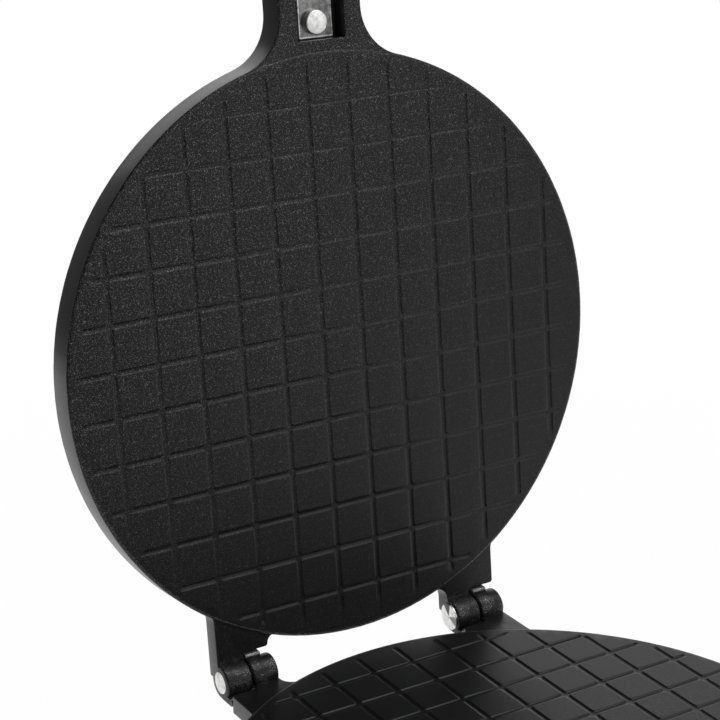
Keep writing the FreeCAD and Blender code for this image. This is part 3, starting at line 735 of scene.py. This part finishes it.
def ear(plate, hinge, centre_x, half):
    """A hinge ear: a slab on its outline in plan, and a knuckle and stop toe drawn from the side and widened.

    The overlap keeps the ends of slab, knuckle and toe off one plane.
    """
    front = plate.thickness - plate.step
    low = centre_x - hinge.width / 2
    high = centre_x + hinge.width / 2
    knuckle = centre_x + hinge.gap / 2
    notch = HINGE[1] - hinge.notch
    overlap = 0.05 * MM
    foot = 2.5 * hinge.fillet
    beside = np.array([low - foot, low, high, high + foot])
    on_circle = np.sqrt(PLATE_RADIUS ** 2 - beside ** 2) - plate.edge / 2
    root = on_circle.min() - plate.rim / 2
    plan = [
        (beside[0], on_circle[0]), (low, on_circle[1]), (low, notch), (knuckle, notch), (knuckle, HINGE[1]),
        (high - overlap, HINGE[1]), (high - overlap, on_circle[2]), (beside[3], on_circle[3]),
        (beside[3], root), (beside[0], root),
    ]
    soft = 1.0 * MM
    slab_edge, knuckle_edge, toe_edge = 0.3 * MM, 0.7 * MM, 0.4 * MM
    radii = [soft, hinge.fillet, soft, soft, soft, soft, hinge.fillet, soft, soft, soft]
    outline = rounded_corners(plan, radii, share=0.8)
    shells = [loft(rounded_slab(outline, front - hinge.thickness, front, slab_edge))]
    barrel = hinge.barrel
    square = [(-barrel, -barrel), (barrel, -barrel), (barrel, barrel), (-barrel, barrel)]
    round_side = rounded_corners(square, [barrel] * 4, steps=14, share=1.0)
    toe, toe_end = hinge.upper_toe, high
    if half == "lower":
        toe, toe_end = hinge.lower_toe, knuckle + hinge.toe_width
    toe_top = PLATE_HIGH[2] - HINGE[2]
    toe_corners = [(toe, 0), (barrel, 0), (hinge.toe_reach, toe_top), (toe, toe_top)]
    toe_side = rounded_corners(toe_corners, np.array([0.5, 0.5, 0.8, 0.9]) * MM)
    knuckle_slab = rounded_slab(round_side, knuckle, high, knuckle_edge)
    toe_slab = rounded_slab(toe_side, knuckle + overlap, toe_end - overlap, toe_edge)
    for rings in (knuckle_slab, toe_slab):
        shells.append(moved(loft(rings), (0, HINGE[1], HINGE[2]), (2, 0, 1)))
    return shells


def casting_shells(half):
    """All of one casting: plate, neck and two ears."""
    plate, hinge, handle = settings("plate"), settings("hinge"), settings("handle")
    face, edge_angles = cooking_face(plate, half == "upper")
    shells = [joined(face, plate_sides(plate, edge_angles)), neck(plate, handle)]
    for sign in (-1, 1):
        shells += ear(plate, hinge, sign * hinge.spacing / 2, half)
    return [in_half(shell, half) for shell in shells]


class IRON_OT_castings(bpy.types.Operator):
    """Make both castings: plate with waffle cells, neck with channel, hinge ears with knuckles"""
    bl_idname = "iron.castings"
    bl_label = "Castings"

    def execute(self, context):
        facings = {"lower": (0, 0, 1), "upper": (0, -math.sin(OPEN_ANGLE), -math.cos(OPEN_ANGLE))}
        # Each half's grains thicken along its own direction: painted sparkle where light falls on its face.
        painted_sparkle_gradients = {
            "lower": {"painted_sparkle_direction": (0, -1, 0), "least_painted_sparkle": 0.05, "painted_sparkle_low": -0.06, "painted_sparkle_high": 0.09},
            "upper": {"painted_sparkle_direction": (-0.55, 0, 0.835), "least_painted_sparkle": 0.2, "painted_sparkle_low": 0.03, "painted_sparkle_high": 0.17},
        }
        for half, body in BODY_OF_HALF.items():
            name = f"{half}_coat"
            middle = tuple(in_half((np.zeros((1, 3)), None, None), half)[0][0])
            coat = finish(name, coat_finish, name, facings[half], middle, **painted_sparkle_gradients[half])
            make_piece(f"{half}_casting", casting_shells(half), body, coat, [f"{half}_plate"])
        return {"FINISHED"}


# Hinge pins

def pin_profile(hinge, headed, whole):
    """A pin's (radius, height) corners and their radii: dimpled head and peened tail, or two plain ends.

    A plain pin's first end stands proud, so that it shares no plane with its knuckle.
    """
    if not headed:
        proud, dish = 0.12 * MM, 0.1 * MM
        corners = [(0, -proud), (hinge.pin, -proud), (hinge.pin, whole), (0, whole - dish)]
        return corners, np.array([0, 0.3, 0.4, 0]) * MM
    dimple, dimple_depth = 0.6 * MM, 0.3 * MM
    tail = whole - hinge.tail_length
    corners = [
        (0, dimple_depth), (dimple, 0), (hinge.head, 0), (hinge.head, hinge.head_thickness),
        (hinge.pin, hinge.head_thickness), (hinge.pin, tail), (hinge.tail, tail),
        (hinge.tail, whole), (0, whole),
    ]
    return corners, np.array([0, 0.15, 0.2, 0.1, 0.1, 0.1, 0.15, 0.5, 0]) * MM


def pin_shell(hinge, node, outward):
    """A pin: its profile turned about the hinge's axis, with its inner end first."""
    low, high = box_of(node)
    corners, radii = pin_profile(hinge, outward > 0, high[0] - low[0])
    points, quads, caps = turned(rounded_corners(corners, radii, steps=4, closed=False))
    inner_x = low[0] if outward > 0 else high[0]
    x = inner_x + outward * points[:, 2]
    return np.column_stack([x, HINGE[1] + points[:, 0], HINGE[2] + points[:, 1]]), quads, caps


class IRON_OT_hinge_pins(bpy.types.Operator):
    """Make the two hinge pins: a plain one on the left, one with a head on the right"""
    bl_idname = "iron.hinge_pins"
    bl_label = "Hinge pins"

    def execute(self, context):
        # The last number is how dark each pin's painted reflection wedges are.
        for side, outward, painted_fan_depth in (("left", -1, 0.15), ("right", 1, 1.0)):
            node, name = f"{side}_hinge_pin", f"{side}_turned_pin"
            steel = finish(name, pin_finish, name, painted_fan_depth)
            shell = pin_shell(settings("hinge"), node, outward)
            make_piece(f"{side}_pin_turned", [shell], "base", steel, [node])
        return {"FINISHED"}


# Tangs and rivets

class IRON_OT_tangs(bpy.types.Operator):
    """Make the plated strips that join castings and grips"""
    bl_idname = "iron.tangs"
    bl_label = "Tangs"

    def execute(self, context):
        plated = finish("plated_strip", plated_finish)
        extra, corner, edge = 0.35 * MM, 0.6 * MM, 0.45 * MM
        left, right = TANG_LOW[0], TANG_HIGH[0]
        start, end = TANG_LOW[1], TANG_HIGH[1] + extra
        corners = [(left, start), (right, start), (right, end), (left, end)]
        outline = rounded_corners(corners, [corner] * 4)
        strip = loft(rounded_slab(outline, TANG_LOW[2], TANG_HIGH[2], edge))
        for half, body in BODY_OF_HALF.items():
            shell = in_half(strip, half)
            make_piece(f"{half}_tang_strip", [shell], body, plated, [f"{half}_tang"])
        return {"FINISHED"}


def rivet_shell(handle, node):
    """A rivet: its profile, from the flush back to the formed head, turned about the height axis."""
    low, high = box_of(node)
    back = (high[0] - low[0]) / 2
    head_base = TANG_HIGH[2] - low[2]
    top = high[2] - low[2]
    countersink, crown = 1.3 * MM, 0.05 * MM
    corners = [
        (0, 0), (back, 0), (handle.rivet_shank, countersink), (handle.rivet_shank, head_base),
        (handle.rivet_head, head_base), (handle.rivet_head, top), (0, top + crown),
    ]
    radii = np.array([0, 0.15, 0.2, 0.1, 0.2, 0.45, 0]) * MM
    middle = ((low[0] + high[0]) / 2, (low[1] + high[1]) / 2, low[2])
    return moved(turned(rounded_corners(corners, radii, steps=4, closed=False)), middle)


class IRON_OT_rivets(bpy.types.Operator):
    """Make the rivets through tangs and necks"""
    bl_idname = "iron.rivets"
    bl_label = "Rivets"

    def execute(self, context):
        metal = settings("finishes").rivet_metal
        steel = finish("formed_rivet", turned_finish, "formed_rivet", "Y", metal, 60, 0.34)
        for half, body in BODY_OF_HALF.items():
            for place in PLACES:
                shell = in_half(rivet_shell(settings("handle"), f"lower_{place}_rivet"), half)
                node = f"{half}_{place}_rivet"
                make_piece(f"{node}_formed", [shell], body, steel, [node])
        return {"FINISHED"}


# Grips and their screws

def grip_shell(handle):
    """A grip: a rounded section carried along the handle.

    The section is |x / half|^4 + |z / high|^n = 1, with n = 7 on the flat inner side and 2.6 on the outer.
    The half width swells by a parabola along the grip and drops to the nose in a smooth shoulder.
    """
    grip_end, grip_start = GRIP_LOW[1], GRIP_HIGH[1]
    swell = GRIP_HIGH[0] - handle.grip_end
    shoulder_start = grip_end + handle.nose_length - 2 * MM
    shoulder_end = shoulder_start + 2.4 * MM
    side_power, inner_power, outer_power = 4.0, 7.0, 2.6
    inner_share = 0.32
    edge = 1.2 * MM
    rise, shrink = edge_round(edge, 5)
    body_y = np.concatenate([
        np.linspace(grip_end + edge, shoulder_start - 0.2 * MM, 10)[1:],
        np.linspace(shoulder_start, shoulder_end, 13),
        np.linspace(shoulder_end + 0.6 * MM, grip_start - edge, 44)[:-1],
    ])
    y = np.concatenate([grip_end + rise, body_y, grip_start - rise[::-1]])
    inset = np.concatenate([shrink, 0 * body_y, shrink[::-1]])
    along = (y - grip_end) / (grip_start - grip_end)
    body = smooth_ramp(y, shoulder_start, shoulder_end)
    wide = handle.grip_end + swell * (1 - (2 * along - 1) ** 2)
    half = handle.nose + (wide - handle.nose) * body - inset
    bottom = GRIP_LOW[2] + handle.nose_step * (1 - body) + inset
    top = GRIP_HIGH[2] - inset
    parting = top - inner_share * (top - bottom)
    angle = np.linspace(0, 2 * math.pi, 96, endpoint=False)
    power = np.where(np.sin(angle) > 0, inner_power, outer_power)
    cross = np.sign(np.cos(angle)) * np.abs(np.cos(angle)) ** (2 / side_power)
    up = np.sign(np.sin(angle)) * np.abs(np.sin(angle)) ** (2 / power)
    x = half[:, None] * cross
    depth = np.where(up > 0, (top - parting)[:, None], (parting - bottom)[:, None])
    z = parting[:, None] + depth * up
    return loft(np.stack([x, np.broadcast_to(y[:, None], x.shape), z], axis=-1))


class IRON_OT_grips(bpy.types.Operator):
    """Make the two moulded grips"""
    bl_idname = "iron.grips"
    bl_label = "Grips"

    def execute(self, context):
        moulding = finish("black_moulding", moulding_finish)
        shell = grip_shell(settings("handle"))
        for half, body in BODY_OF_HALF.items():
            make_piece(f"{half}_grip_moulding", [in_half(shell, half)], body, moulding,
                       [f"{half}_grip"])
        return {"FINISHED"}


def screw_shell(handle, node):
    """A countersunk screw: a head with a cross recess sunk by smooth ramps, on a turned cone and shank."""
    low, high = box_of(node)
    proud = 0.08 * MM
    height = high[2] - low[2] + proud
    slot, arm, deep = 0.55 * MM, 2.1 * MM, 0.9 * MM
    wall = 0.15 * MM
    face_radius = handle.screw_head - 0.2 * MM
    in_slot, past_arm = 0.28 * MM, 3.0 * MM
    edges = np.array([slot - wall, slot, slot + wall, arm - wall, arm + wall, in_slot, past_arm])
    lines = np.concatenate([edges, -edges, [0]])
    x, y, edge_angles = disc_net(face_radius, lines, lines, rows=25)
    across = smooth_ramp(slot - np.abs(x), -wall, wall) * smooth_ramp(arm - np.abs(y), -wall, wall)
    down = smooth_ramp(slot - np.abs(y), -wall, wall) * smooth_ramp(arm - np.abs(x), -wall, wall)
    face = net_skin(x, y, height - deep * np.maximum(across, down))
    corners = [
        (handle.screw_head - 0.4 * MM, height), (handle.screw_head, height),
        (handle.screw_shank, height - handle.screw_head_depth), (handle.screw_shank, 0), (0, 0),
    ]
    radii = np.array([0, 0.15, 0.1, 0.2, 0]) * MM
    profile = rounded_corners(corners, radii, steps=4, closed=False)
    profile[0, 0] = face_radius
    middle = ((low[0] + high[0]) / 2, (low[1] + high[1]) / 2, low[2])
    return moved(joined(face, swung(profile, edge_angles)), middle)


class IRON_OT_grip_screws(bpy.types.Operator):
    """Make the countersunk screws that hold tangs in grips"""
    bl_idname = "iron.grip_screws"
    bl_label = "Grip screws"

    def execute(self, context):
        metal = settings("finishes").screw_metal
        steel = finish("plated_screw", turned_finish, "plated_screw", "Z", metal, 90, 0.28)
        for half, body in BODY_OF_HALF.items():
            for place in PLACES:
                shell = in_half(screw_shell(settings("handle"), f"lower_{place}_screw"), half)
                node = f"{half}_{place}_screw"
                make_piece(f"{node}_cross_head", [shell], body, steel, [node])
        return {"FINISHED"}


# Latch bail

def bail_shell(handle):
    """The bail: a round wire along hooks, legs and crossbar, in a plane that droops from pivot to floor."""
    leg, reach, hook = handle.leg, handle.reach, handle.hook
    corners = [(-hook, 0), (-leg, 0), (-leg, -reach), (leg, -reach), (leg, 0), (hook, 0)]
    bends = np.array([0, 2, 3, 3, 2, 0]) * MM
    flat = rounded_corners(corners, bends, steps=10, share=1.0, closed=False)
    floor_gap = 0.05 * MM
    droop = math.asin((PIVOT[2] - handle.wire - floor_gap) / reach)
    path = PIVOT + np.column_stack([flat[:, 0], flat[:, 1] * math.cos(droop), flat[:, 1] * math.sin(droop)])
    return tube(path, handle.wire, np.array([0, -math.sin(droop), math.cos(droop)]))


class IRON_OT_latch_bail(bpy.types.Operator):
    """Make the wire bail that holds the grips shut"""
    bl_idname = "iron.latch_bail"
    bl_label = "Latch bail"

    def execute(self, context):
        wire = finish("drawn_wire", wire_finish)
        shell = bail_shell(settings("handle"))
        make_piece("latch_bail_wire", [shell], "bail", wire, ["latch_bail"])
        return {"FINISHED"}


# Stage

CAMERA_PLACE = (-0.31986, -0.42386, 0.33079)
CAMERA_FORWARD = (0.49009, 0.80354, -0.33783)
CAMERA_ROLL = math.radians(0.38)
CAMERA_LENS = 103.55
SENSOR = 36.0
WHITE = (1, 1, 1, 1)


def set_camera():
    """The camera at the photo's viewing angle."""
    forward = Vector(CAMERA_FORWARD).normalized()
    level = forward.cross(Vector((0, 0, 1))).normalized()
    down = forward.cross(level)
    right = level * math.cos(CAMERA_ROLL) + down * math.sin(CAMERA_ROLL)
    up = level * math.sin(CAMERA_ROLL) - down * math.cos(CAMERA_ROLL)
    turn = Matrix((right, up, -forward)).transposed()
    data = bpy.data.cameras.new("camera")
    data.lens = CAMERA_LENS
    data.sensor_width = SENSOR
    data.clip_start = 0.01
    camera = bpy.data.objects.new("camera", data)
    camera.matrix_world = Matrix.Translation(CAMERA_PLACE) @ turn.to_4x4()
    bpy.context.scene.collection.objects.link(camera)
    bpy.context.scene.camera = camera


def seen_directly(paint):
    """1 for rays from the camera, and for those that mirror or pass through something, else 0."""
    path = paint.add("ShaderNodeLightPath")
    seen = path["Is Camera Ray"] + path["Is Glossy Ray"] + path["Is Transmission Ray"]
    return seen.ramp(0.0, 1.0)


def floor_finish():
    """A pale floor that keeps a soft shadow and shows white where it is seen directly.

    In mirrors it is darker towards the camera and on the far right.
    """
    paint = Paint(bpy.data.materials.new("stage_floor"))
    matt = paint.add("ShaderNodeBsdfDiffuse", None, {"Color": shade(settings("finishes").floor)})["BSDF"]
    place = paint.place()
    near_camera = paint.dot(place, (-0.6, -0.8, 0)).ramp(0.2, 0.4)
    far_right = paint.dot(place, (0.95, 0.3, 0)).ramp(0.4, 0.7)
    mirrored = 1.0 - paint.add("ShaderNodeLightPath")["Is Camera Ray"]
    dimmed = (near_camera + far_right * 0.4) * mirrored
    seen_colour = paint.mix(dimmed, WHITE, shade(WHITE[:3], 0.2))
    white = paint.add("ShaderNodeEmission", None, {"Color": seen_colour, "Strength": 1.0})["Emission"]
    whiter = paint.from_origin(place).ramp(0.28, 0.48)
    share = seen_directly(paint) * (0.985 + 0.015 * whiter)
    return paint.close(paint.add("ShaderNodeMixShader", None, {0: share, 1: matt, 2: white})["Shader"])


def set_world():
    """A light studio, white where the camera sees it.

    For all other rays it is dimmer overhead, below the floor, behind on the left and on the camera's side,
    and brighter behind on the right.
    """
    world = bpy.data.worlds.new("studio")
    bpy.context.scene.world = world
    paint = Paint(world)
    ray = paint.add("ShaderNodeTexCoord")["Generated"]
    height = paint.add("ShaderNodeSeparateXYZ", None, {"Vector": ray})["Z"]
    dim_side = paint.dot(ray, (-0.42, 0.91, 0)).ramp(0.60, 0.93)
    bright_side = paint.dot(ray, (0.60, 0.73, 0.33)).ramp(0.90, 0.98)
    camera_side = paint.dot(ray, (-0.75, -0.65, 0)).ramp(0.50, 0.85)
    level = 0.62 - 0.40 * dim_side + 1.0 * bright_side - 0.42 * camera_side
    overhead = height.ramp(0.30, 0.62)
    below = height.ramp(0.03, -0.03)
    strength = level * (1.0 - 0.8 * overhead) * (1.0 - 0.25 * below)
    camera_ray = paint.add("ShaderNodeLightPath")["Is Camera Ray"]
    strength = strength + camera_ray * (1.0 - strength)
    light = paint.add("ShaderNodeBackground", None, {"Color": WHITE, "Strength": strength})
    paint.close(light["Background"], "ShaderNodeOutputWorld")


def add_softbox(name, place, target, side, power):
    """A square area light that looks at a point."""
    data = bpy.data.lights.new(name, "AREA")
    data.size = side
    data.energy = power
    lamp = bpy.data.objects.new(name, data)
    aim = (Vector(target) - Vector(place)).to_track_quat("-Z", "Y")
    lamp.matrix_world = Matrix.Translation(place) @ aim.to_matrix().to_4x4()
    bpy.context.scene.collection.objects.link(lamp)


class IRON_OT_stage(bpy.types.Operator):
    """Set the floor, the lights, the surroundings and the camera"""
    bl_idname = "iron.stage"
    bl_label = "Stage"

    def execute(self, context):
        left, right, front, back = -0.5, 2.4, -2.8, 0.56
        drop = -0.0002
        mesh = bpy.data.meshes.new("floor")
        corners = [(left, front, drop), (right, front, drop), (right, back, drop), (left, back, drop)]
        mesh.from_pydata(corners, [], [(0, 1, 2, 3)])
        mesh.materials.append(floor_finish())
        floor = bpy.data.objects.new("floor", mesh)
        context.scene.collection.objects.link(floor)
        set_world()
        add_softbox("overhead", place=(0.55, -0.40, 1.40), target=(0, 0, 0), side=1.1, power=13)
        add_softbox("key", place=(0.95, -1.65, 0.72), target=(0, 0.05, 0.1), side=0.9, power=4)
        add_softbox("back", place=(0.04, 1.5, 1.0), target=(0, 0, 0), side=0.9, power=2.5)
        set_camera()
        context.scene.view_settings.view_transform = "Standard"
        return {"FINISHED"}


class IRON_PT_panel(bpy.types.Panel):
    """Lists the iron's pieces in the sidebar"""
    bl_idname = "IRON_PT_panel"
    bl_label = "Waffle cone iron"
    bl_space_type = "VIEW_3D"
    bl_region_type = "UI"
    bl_category = "Waffle iron"

    def draw(self, context):
        for operator in OPERATORS:
            self.layout.operator(operator.bl_idname)


OPERATORS = (
    IRON_OT_castings,
    IRON_OT_hinge_pins,
    IRON_OT_tangs,
    IRON_OT_rivets,
    IRON_OT_grips,
    IRON_OT_grip_screws,
    IRON_OT_latch_bail,
    IRON_OT_stage,
)
GROUPS = {"plate": PlateSizes, "hinge": HingeSizes, "handle": HandleSizes, "finishes": Finishes}


def register():
    for group in GROUPS.values():
        bpy.utils.register_class(group)
    for operator in OPERATORS:
        bpy.utils.register_class(operator)
    bpy.utils.register_class(IRON_PT_panel)
    for name, group in GROUPS.items():
        setattr(bpy.types.Scene, f"iron_{name}", bpy.props.PointerProperty(type=group))


def unregister():
    for name in GROUPS:
        delattr(bpy.types.Scene, f"iron_{name}")
    bpy.utils.unregister_class(IRON_PT_panel)
    for operator in reversed(OPERATORS):
        bpy.utils.unregister_class(operator)
    for group in reversed(GROUPS.values()):
        bpy.utils.unregister_class(group)


def main():
    register()
    bpy.ops.iron.castings()
    bpy.ops.iron.hinge_pins()
    bpy.ops.iron.tangs()
    bpy.ops.iron.rivets()
    bpy.ops.iron.grips()
    bpy.ops.iron.grip_screws()
    bpy.ops.iron.latch_bail()
    bpy.ops.iron.stage()


if __name__ == "__main__":
    main()
